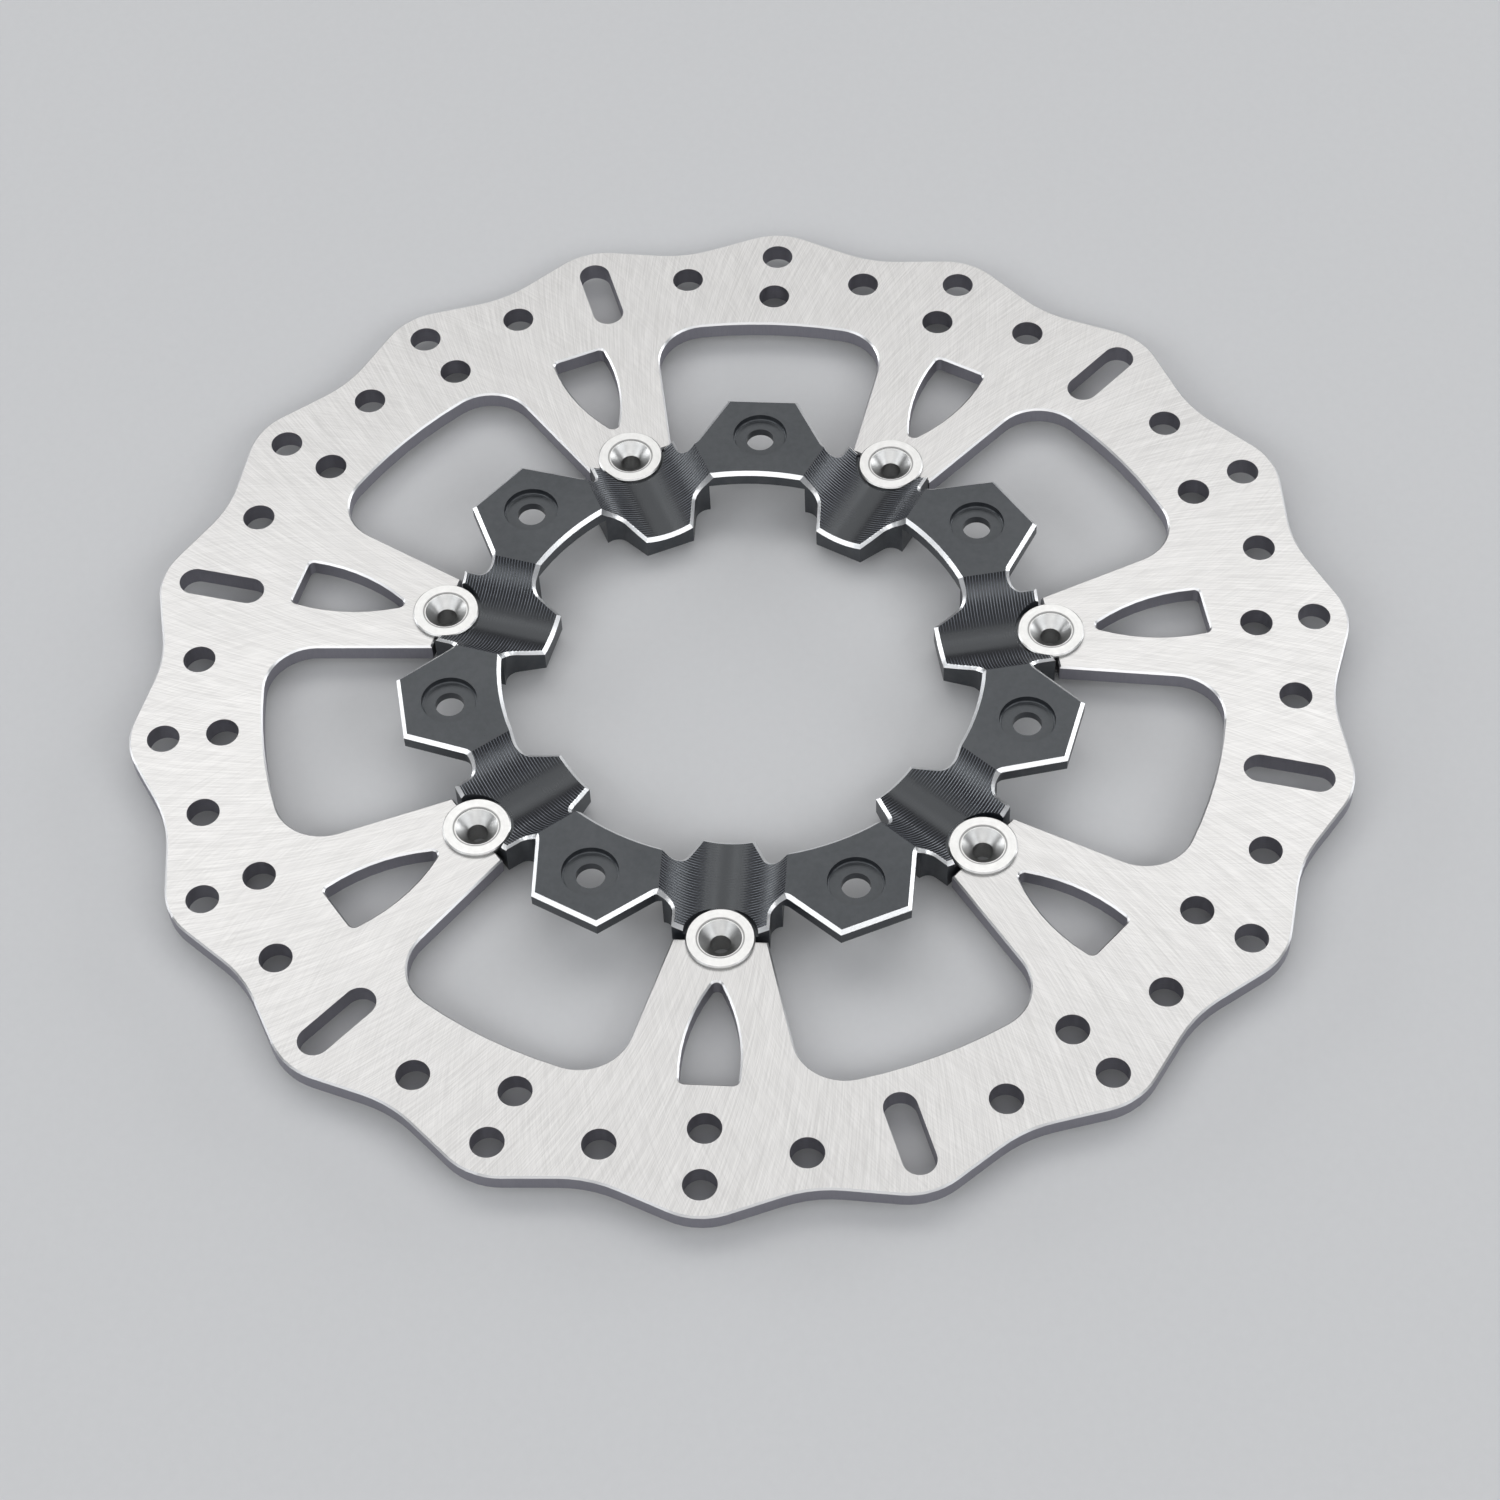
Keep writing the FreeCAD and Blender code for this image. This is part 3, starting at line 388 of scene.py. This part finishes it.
def disc_material():
    """Ground stainless faces, bright edge breaks and darker cut walls, told apart by slope."""
    shader = Shader("rotor_steel_ground")
    place = shader.place()
    level = shader.level()
    face = shader.span(level, 0.93, 0.97)
    wall = shader.span(level, 0.25, 0.45, 1.0, 0.0)
    edge = shader.subtract(1.0, shader.math("MAXIMUM", face, wall))

    coarse = radial_streaks(shader, along=90, around=2600, twist=2.2)
    crossing = radial_streaks(shader, along=110, around=3400, twist=-3.6)
    fine = radial_streaks(shader, along=260, around=8000, twist=0.8)
    streaks = shader.weighted((coarse, 0.5), (crossing, 0.3), (fine, 0.2))
    blotch = shader.noise(place, 38, roughness=0.55)
    patch = shader.noise(place, 150, 2.0, 0.5)
    wall_grain = shader.noise(shader.stretch(place, (1900, 1900, 260)), 1.0)

    ground_low = shader.mix_colour(blotch, rgb(0.635, 0.628, 0.620), rgb(0.680, 0.673, 0.665))
    ground_high = shader.mix_colour(patch, rgb(0.765, 0.758, 0.750), rgb(0.815, 0.808, 0.800))
    ground = shader.mix_colour(shader.span(streaks, 0.40, 0.60), ground_low, ground_high)
    cut_wall = shader.mix_colour(wall_grain, rgb(0.26, 0.255, 0.29), rgb(0.39, 0.385, 0.425))
    bright = shader.mix_colour(patch, rgb(0.64, 0.64, 0.645), rgb(0.72, 0.72, 0.725))
    colour = shader.mix_colour(face, bright, ground)
    colour = shader.mix_colour(wall, colour, cut_wall)

    rough_face = shader.span(streaks, 0.3, 0.7, 0.44, 0.38)
    rough_wall = shader.span(wall_grain, 0.3, 0.7, 0.38, 0.55)
    rough = shader.weighted((face, rough_face), (wall, rough_wall), (edge, 0.33))
    relief = shader.weighted((streaks, face), (wall_grain, wall))
    shader.set(Base_Color=colour, Metallic=1.0, Roughness=rough,
               Normal=shader.bump(relief, 0.009 * MM, 0.8),
               Anisotropic=0.4, Anisotropic_Rotation=0.25, Tangent=shader.round_axis())
    return shader.material


def anodised_material():
    """Black anodised aluminium: near black, with a fine satin grain and faint handling marks."""
    shader = Shader("carrier_anodised")
    place = shader.place()
    grain = shader.noise(place, 2600)
    cloud = shader.noise(place, 60, 4.0)
    mottle = shader.noise(place, 520, 4.0, 0.65)
    tone = shader.weighted((cloud, 0.6), (mottle, 0.4))
    colour = shader.mix_colour(shader.span(tone, 0.38, 0.62),
                               rgb(0.003, 0.0045, 0.008), rgb(0.032, 0.034, 0.038))
    rough = shader.add(shader.span(tone, 0.36, 0.64, 0.30, 0.38),
                       shader.span(grain, 0.3, 0.7, -0.03, 0.03))
    shader.set(Base_Color=colour, Metallic=0.0, Roughness=rough,
               Normal=shader.bump(grain, 0.004 * MM, 0.6),
               IOR=1.74, Specular_Tint=ANODISED_TINT)
    return shader.material


def milled_material():
    """The anodised valleys: smoother, with a painted highlight along the ridges between cutter
    paths on the slopes.
    """
    shader = Shader("carrier_anodised_milled")
    place = shader.place()
    x, y, _ = shader.split(place)
    radius = shader.length(x, y)
    turn = shader.math("ARCTAN2", y, x)
    arm = shader.math("ROUND", shader.divide(turn, SECTOR))
    folded = shader.subtract(turn, shader.multiply(arm, SECTOR))
    reach = shader.multiply(radius, shader.math("COSINE", folded))
    side = shader.absolute(shader.multiply(radius, shader.math("SINE", folded)))

    phase = shader.math("FRACT", shader.divide(reach, CUT_PITCH))
    ridge = shader.span(shader.absolute(shader.subtract(phase, 0.5)), 0.35, 0.44)
    slope = shader.span(side, VALLEY_FLOOR, VALLEY_FLOOR + VALLEY_FLOOR_FADE)
    chatter = shader.noise(shader.merge(shader.divide(reach, CUT_PITCH),
                                        shader.multiply(side, 70), 0.0), 1.0, 2.0)
    # painted highlight: a light bluish grey on the ridges of the valley's slopes stands in for
    # glints off the crests
    painted_ridge_highlight = shader.multiply(shader.multiply(ridge, slope), shader.span(chatter, 0.3, 0.6, 0.5, 1.0))

    cloud = shader.noise(place, 60, 4.0)
    black = shader.mix_colour(cloud, rgb(0.014, 0.0145, 0.017), rgb(0.024, 0.0245, 0.027))
    colour = shader.mix_colour(painted_ridge_highlight, black, rgb(0.225, 0.24, 0.275))
    shader.set(Base_Color=colour, Metallic=0.0, Roughness=shader.span(cloud, 0.3, 0.7, 0.20, 0.27),
               Normal=shader.bump(chatter, 0.004 * MM, 0.5),
               IOR=1.64, Specular_Tint=ANODISED_TINT)
    return shader.material


def bright_cut_material():
    """Bare aluminium where the edges were machined after anodising."""
    shader = Shader("carrier_bright_cut")
    grain = shader.noise(shader.place(), 3200)
    colour = shader.mix_colour(grain, rgb(0.83, 0.84, 0.85), rgb(0.93, 0.935, 0.94))
    shader.set(Base_Color=colour, Metallic=1.0, Roughness=shader.span(grain, 0.3, 0.7, 0.32, 0.42),
               Normal=shader.bump(grain, 0.006 * MM, 0.5))
    return shader.material


def turned_material(name, centre, finish):
    """Lathe-turned metal: fine rings round the part's own axis, with painted shade on the cones
    and a painted shade ring at the step round the cone's mouth.
    """
    shader = Shader(name)
    place = shader.place()
    x, y, z = shader.split(place)
    radius = shader.length(shader.subtract(x, centre.x), shader.subtract(y, centre.y))
    track = shader.merge(shader.add(radius, shader.multiply(z, 0.9)), 0.0, 0.0)
    rings = shader.noise(track, 1.0 / finish["pitch"], 2.0, 0.7)
    marks = shader.noise(place, 700, roughness=0.55)
    tone = shader.weighted((rings, 0.6), (marks, 0.4))

    # painted shade: where the surface slopes, the cones take the same turned tones, darkened by
    # the finish's painted cone shade
    shade = finish["cone_painted_shade"]
    cone_dark = [part * shade * CONE_DARK_PAINTED_SHADE for part in finish["dark"]]
    cone_light = [part * shade for part in finish["light"]]
    flat = shader.span(shader.level(), 0.90, 0.97)
    face = shader.mix_colour(shader.span(tone, 0.35, 0.65),
                             rgb(*finish["dark"]), rgb(*finish["light"]))
    cone = shader.mix_colour(shader.span(tone, 0.30, 0.70), rgb(*cone_dark), rgb(*cone_light))
    colour = shader.mix_colour(flat, cone, face)
    # painted shade: a dark ring on the flat face at the step round the cone's mouth, where the
    # step's corner would be in shade
    line = shader.span(shader.absolute(shader.subtract(radius, CONE_MOUTH)),
                       STEP_SHADE_CORE, STEP_SHADE_EDGE, 1.0, 0.0)
    colour = shader.mix_colour(shader.multiply(line, flat), colour, rgb(0.30, 0.30, 0.30))
    shader.set(Base_Color=colour, Metallic=1.0,
               Roughness=shader.span(tone, 0.3, 0.7, *finish["rough"]),
               Normal=shader.bump(rings, finish["depth"], 0.7),
               Anisotropic=0.15, Tangent=shader.round_axis())
    return shader.material


def spring_material():
    """Hardened spring steel: grey, with a faint straw and blue tempering tint and a soft grain."""
    shader = Shader("spring_steel_tempered")
    place = shader.place()
    grain = shader.noise(place, 1800)
    tint = shader.noise(place, 240, 2.0, 0.5)
    colour = shader.mix_colour(tint, rgb(0.30, 0.29, 0.27), rgb(0.36, 0.37, 0.41))
    shader.set(Base_Color=colour, Metallic=1.0, Roughness=shader.span(grain, 0.3, 0.7, 0.28, 0.42),
               Normal=shader.bump(grain, 0.005 * MM, 0.6))
    return shader.material


def floor_material():
    shader = Shader("floor_pale")
    grain = shader.noise(shader.place(), 420)
    colour = shader.mix_colour(grain, rgb(0.655, 0.66, 0.67), rgb(0.685, 0.69, 0.70))
    shader.set(Base_Color=colour, Roughness=0.75, Specular_IOR_Level=0.2)
    return shader.material


# ---------------------------------------------------------------- the carrier and its cutter marks

def valley_level(side):
    """Height of the valley's cylinder at a distance from the arm's middle."""
    return DISC_TOP + VALLEY_RADIUS - math.sqrt(VALLEY_RADIUS ** 2 - side ** 2)


def is_valley(face):
    """True on the cylinder that dips between two lugs."""
    centre = face.calc_center_median()
    return (abs(face.normal.x) < VALLEY_LEAN and face.normal.z > VALLEY_UPWARD
            and centre.y < VALLEY_RIM
            and abs(centre.z - valley_level(centre.y)) < VALLEY_MISS)


def is_bright_cut(face):
    """True on the broken edges along the top outline, which are bare metal."""
    bolt = Vector((math.cos(SECTOR / 2), math.sin(SECTOR / 2))) * BOLT_RADIUS
    away = (face.calc_center_median().xy - bolt).length
    return BREAK_LOWEST < face.normal.z < BREAK_HIGHEST and away > RECESS_REACH


def material_slot(face):
    if is_valley(face):
        return MILLED
    return BRIGHT_CUT if is_bright_cut(face) else ANODISED


def keep_side(mesh, normal, keep_front):
    """Cuts the mesh by a plane through the wheel axis and throws one side away."""
    everything = mesh.verts[:] + mesh.edges[:] + mesh.faces[:]
    bmesh.ops.bisect_plane(mesh, geom=everything, dist=WELD, plane_co=(0, 0, 0), plane_no=normal,
                           clear_inner=keep_front, clear_outer=not keep_front)


def extent(face, direction):
    """A face with the lowest and highest of its points along a direction."""
    along = [vertex.co.dot(direction) for vertex in face.verts]
    return min(along), max(along), face


def is_crossed(face_extent, reach):
    low, high, _ = face_extent
    return low < reach - WELD and high > reach + WELD


def cut_across(mesh, faces, direction, reaches):
    """Cuts faces by planes square to a direction, each meeting only the faces that it crosses."""
    extents = [extent(face, direction) for face in faces]
    for reach in reaches:
        crossed = [e[2] for e in extents if is_crossed(e, reach)]
        if not crossed:
            continue
        extents = [e for e in extents if not is_crossed(e, reach)]
        geometry = set(crossed)
        for face in crossed:
            geometry.update(face.edges)
            geometry.update(face.verts)
        result = bmesh.ops.bisect_plane(mesh, geom=list(geometry), dist=WELD,
                                        plane_co=direction * reach, plane_no=direction)
        extents += [extent(part, direction) for part in result["geom"]
                    if isinstance(part, bmesh.types.BMFace)]
    return [e[2] for e in extents]


def steps(low, high, step):
    return [low + step * index for index in range(int((high - low) / step) + 1)]


def scallop(reach):
    """Height that the cutter leaves: 0 in the middle of its path, 1 on the ridge between paths."""
    phase = (reach / CUT_PITCH) % 1.0
    return (2 * phase - 1) ** 2


def cut_depth(side):
    """How high the ridges stand: low on the valley's floor, and higher on its slopes."""
    blend = min(max((side - VALLEY_FLOOR) / VALLEY_FLOOR_FADE, 0), 1)
    blend = blend * blend * (3 - 2 * blend)
    return CUT_DEPTH_FLOOR + (CUT_DEPTH_SLOPE - CUT_DEPTH_FLOOR) * blend


def recut_vertex(vertex):
    """Moves a point of the valley onto the scallops. A point on the rim stays in the top face."""
    reach, side, level = vertex.co
    rise = cut_depth(side) * scallop(reach)
    lean = side / VALLEY_RADIUS
    if level > LUG_TOP - RIM_MISS:
        vertex.co.y = side - rise / lean
    else:
        vertex.co.y = side - rise * lean
        vertex.co.z = min(valley_level(side) + rise * math.sqrt(1 - lean ** 2), LUG_TOP)


def half_arm():
    """Half of the first arm with half a lug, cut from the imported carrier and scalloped."""
    mesh = bmesh.new()
    mesh.from_mesh(frame["nodes"]["carrier"].data)
    bmesh.ops.remove_doubles(mesh, verts=mesh.verts, dist=WELD)
    keep_side(mesh, (0, 1, 0), True)
    keep_side(mesh, (-math.sin(SECTOR / 2), math.cos(SECTOR / 2), 0), False)
    mesh.normal_update()
    for face in mesh.faces:
        face.material_index = material_slot(face)

    def is_cut(face):
        low_break = (face.material_index == BRIGHT_CUT
                     and face.calc_center_median().z < LUG_TOP - EDGE_BREAK)
        return face.material_index == MILLED or low_break

    faces = [face for face in mesh.faces if is_cut(face)]
    faces = cut_across(mesh, faces, Vector((0, 1, 0)),
                       steps(COLUMN_WIDTH, VALLEY_RIM, COLUMN_WIDTH))
    faces = cut_across(mesh, faces, Vector((1, 0, 0)),
                       steps(ARM_INNER, ARM_OUTER, CUT_PITCH / CUT_STEPS))
    valley = [face for face in faces if face.material_index == MILLED]
    for vertex in {vertex for face in valley for vertex in face.verts}:
        recut_vertex(vertex)
    return mesh


def whole_ring(half):
    """Mesh data of all the arms, from one half arm and its mirror image."""
    half.verts.index_update()
    half_points = [vertex.co.copy() for vertex in half.verts]
    half_faces = [[vertex.index for vertex in face.verts] for face in half.faces]
    half_slots = [face.material_index for face in half.faces]
    points, faces, slots = [], [], []
    for arm in range(SPOKES):
        turn = Matrix.Rotation(arm * SECTOR, 3, "Z")
        for mirrored in (False, True):
            base = len(points)
            flip = Matrix.Scale(-1, 3, (0, 1, 0)) if mirrored else Matrix.Identity(3)
            points += [turn @ flip @ point for point in half_points]
            for corners in half_faces:
                ring = [base + index for index in corners]
                faces.append(ring[::-1] if mirrored else ring)
            slots += half_slots
    data = bpy.data.meshes.new("carrier_machined")
    data.from_pydata(points, [], faces)
    data.polygons.foreach_set("material_index", slots)
    return data


def shade_by_angle(mesh):
    """Smooth shading that stops at the mesh's sharp edges."""
    mesh.normal_update()
    for edge in mesh.edges:
        edge.smooth = edge.is_manifold and edge.calc_face_angle() < SHARP_ANGLE
    for face in mesh.faces:
        face.smooth = True


def scallop_normal(point, centre):
    """Direction of the scallops at a face's corner, on the cutter path that its centre is in."""
    lean = point.y / VALLEY_RADIUS
    path = math.floor(centre.x / CUT_PITCH)
    phase = min(max(point.x / CUT_PITCH - path, 0), 1)
    climb = cut_depth(abs(point.y)) * 4 * (2 * phase - 1) / CUT_PITCH
    return Vector((-climb, -lean, math.sqrt(1 - lean ** 2))).normalized()


def shade_valleys(data):
    """Gives the scallops' corners their exact directions, so that the ridges stay crisp."""
    normals = [corner.vector.copy() for corner in data.corner_normals]
    for polygon in data.polygons:
        if polygon.material_index != MILLED:
            continue
        arm = round(math.atan2(polygon.center.y, polygon.center.x) / SECTOR)
        turn = Matrix.Rotation(arm * SECTOR, 3, "Z")
        back = turn.transposed()
        centre = back @ polygon.center
        for loop in polygon.loop_indices:
            point = back @ data.vertices[data.loops[loop].vertex_index].co
            normals[loop] = turn @ scallop_normal(point, centre)
    data.normals_split_custom_set(normals)


def make_carrier():
    """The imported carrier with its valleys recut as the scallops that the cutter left."""
    half = half_arm()
    data = whole_ring(half)
    half.free()
    mesh = bmesh.new()
    mesh.from_mesh(data)
    bmesh.ops.remove_doubles(mesh, verts=mesh.verts, dist=10 * WELD)
    shade_by_angle(mesh)
    mesh.to_mesh(data)
    mesh.free()
    shade_valleys(data)
    piece = add_object("carrier_machined", data)
    for material in (anodised_material(), milled_material(), bright_cut_material()):
        data.materials.append(material)
    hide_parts("carrier")
    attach(piece, "carrier")


# ---------------------------------------------------------------- the wave washers

def spring_section():
    """Radius and height round the strip's cross section, with its sheared edges rounded off."""
    half, edge = SPRING_SHEET / 2, SPRING_ROUND
    return [(SPRING_INNER, edge - half), (SPRING_INNER + edge, -half),
            (SPRING_OUTER - edge, -half), (SPRING_OUTER, edge - half),
            (SPRING_OUTER, half - edge), (SPRING_OUTER - edge, half),
            (SPRING_INNER + edge, half), (SPRING_INNER, half - edge)]


def spring_mesh(index, centre, swing):
    """The strip's section carried round the button, up and down by swing on its waves."""
    mesh = bmesh.new()
    section = spring_section()
    rings = []
    for step in range(SPRING_STEPS):
        turn = 2 * math.pi * step / SPRING_STEPS
        level = centre.z + swing * math.cos(SPRING_WAVES * turn)
        aim = turn + (index - 1) * SECTOR
        rings.append([mesh.verts.new((centre.x + radius * math.cos(aim),
                                      centre.y + radius * math.sin(aim),
                                      level + rise)) for radius, rise in section])
    for step, ring in enumerate(rings):
        following = rings[(step + 1) % SPRING_STEPS]
        for corner in range(len(section)):
            across = (corner + 1) % len(section)
            mesh.faces.new((ring[corner], following[corner], following[across], ring[across]))
    bmesh.ops.recalc_face_normals(mesh, faces=mesh.faces)
    shade_by_angle(mesh)
    return mesh


def make_wave_spring(index, material):
    """One wave washer, in the place of its CAD node, attached to its button."""
    node = f"wave_washer_{index}"
    name = f"wave_spring_{index}"
    low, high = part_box(node)
    height = high.z - low.z
    centre = middle(node)
    mesh = spring_mesh(index, centre, (height - SPRING_SHEET) / 2)
    data = bpy.data.meshes.new(name)
    mesh.to_mesh(data)
    mesh.free()
    data.materials.append(material)
    piece = add_object(name, data)
    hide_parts(node)
    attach(piece, f"button_{index}")
    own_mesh(piece)


# ---------------------------------------------------------------- the nodes that keep their shape

def dress(node, material):
    """Gives a CAD node a finished material in place of its packed one."""
    for slot in frame["nodes"][node].material_slots:
        slot.material = material


def dress_nodes():
    dress("rotor_disc", disc_material())
    spring = spring_material()
    for index in range(1, SPOKES + 1):
        centre = middle(f"bobbin_{index}")
        dress(f"bobbin_{index}",
              turned_material(f"button_turned_{index}", centre, BUTTON_FINISH))
        dress(f"flat_washer_{index}",
              turned_material(f"washer_turned_{index}", centre, WASHER_FINISH))
        make_wave_spring(index, spring)
        dress(f"snap_ring_{index}", spring)


# ---------------------------------------------------------------- the whole scene

make_camera()
make_look()
make_world()
for light in LIGHTS:
    make_light(*light)
make_floor()
make_carrier()
dress_nodes()
